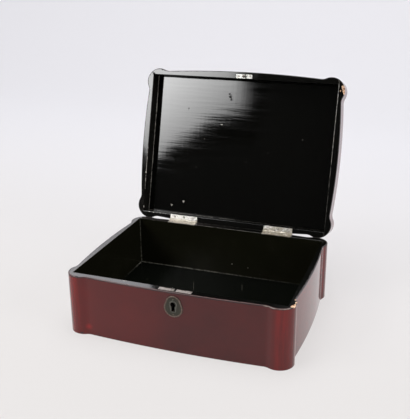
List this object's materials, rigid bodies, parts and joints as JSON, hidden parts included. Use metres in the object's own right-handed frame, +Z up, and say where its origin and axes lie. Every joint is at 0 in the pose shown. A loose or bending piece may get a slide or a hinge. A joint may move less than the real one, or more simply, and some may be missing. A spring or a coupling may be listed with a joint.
{
  "type": "lidded box",
  "caption": "Lacquered wooden box of serpentine outline with lobed corners, a deep hinged lid shown open, and a mortise lock with a pear-shaped escutcheon.",
  "frame": {"origin": "middle of the box's underside, on the surface it stands on", "axes": "+X to the box's right, -Y towards its front with the keyhole, +Z up; the lid stands open"},
  "size_m": [0.3, 0.3168, 0.3016],
  "materials": {
    "red_lacquer": "gloss lacquer, red-brown outside and black inside",
    "black_lacquer": "gloss black lacquer",
    "hinge_metal": "worn nickelled steel",
    "lock_iron": "darkened iron",
    "spring_steel": "blued spring steel",
    "pin_steel": "dull drawn wire",
    "screw_steel": "dark slotted steel",
    "link_metal": "worn, half tarnished",
    "aged_brass": "aged brass with a dull grey-green patina"
  },
  "bodies": {
    "carcase": {"front_wall": "red_lacquer", "right_wall": "red_lacquer", "back_wall": "red_lacquer", "left_wall": "red_lacquer", "bottom_board": "black_lacquer", "hinge_body_leaf_left": "hinge_metal", "hinge_pin_left": "pin_steel", "hinge_body_leaf_right": "hinge_metal", "hinge_pin_right": "pin_steel", "hinge_body_screws": "screw_steel", "lock_selvedge": "lock_iron", "lock_case": "lock_iron", "lock_cap": "lock_iron", "lock_spring": "spring_steel", "lock_key_pin": "pin_steel", "lock_stump": "pin_steel", "lock_screws": "screw_steel", "escutcheon": "aged_brass", "escutcheon_pins": "aged_brass"},
    "lid": {"lid_front_rail": "red_lacquer", "lid_right_rail": "red_lacquer", "lid_back_rail": "red_lacquer", "lid_left_rail": "red_lacquer", "lid_panel": "red_lacquer", "hinge_lid_leaf_left": "hinge_metal", "hinge_lid_leaf_right": "hinge_metal", "hinge_lid_screws": "screw_steel", "link_plate": "link_metal", "link_hook": "link_metal", "link_screws": "screw_steel"},
    "lock_bolt": {"lock_bolt": "lock_iron"}
  },
  "joints": [
    {"name": "lid_hinge", "type": "hinge", "parent": "carcase", "child": "lid", "pos_m": [0, 0.11305, 0.08215], "axis": [1, 0, 0], "range_deg": [0, 105.5]},
    {"name": "bolt_slide", "type": "slide", "parent": "carcase", "child": "lock_bolt", "axis": [1, 0, 0], "range_m": [0, 0.0045]}
  ]
}
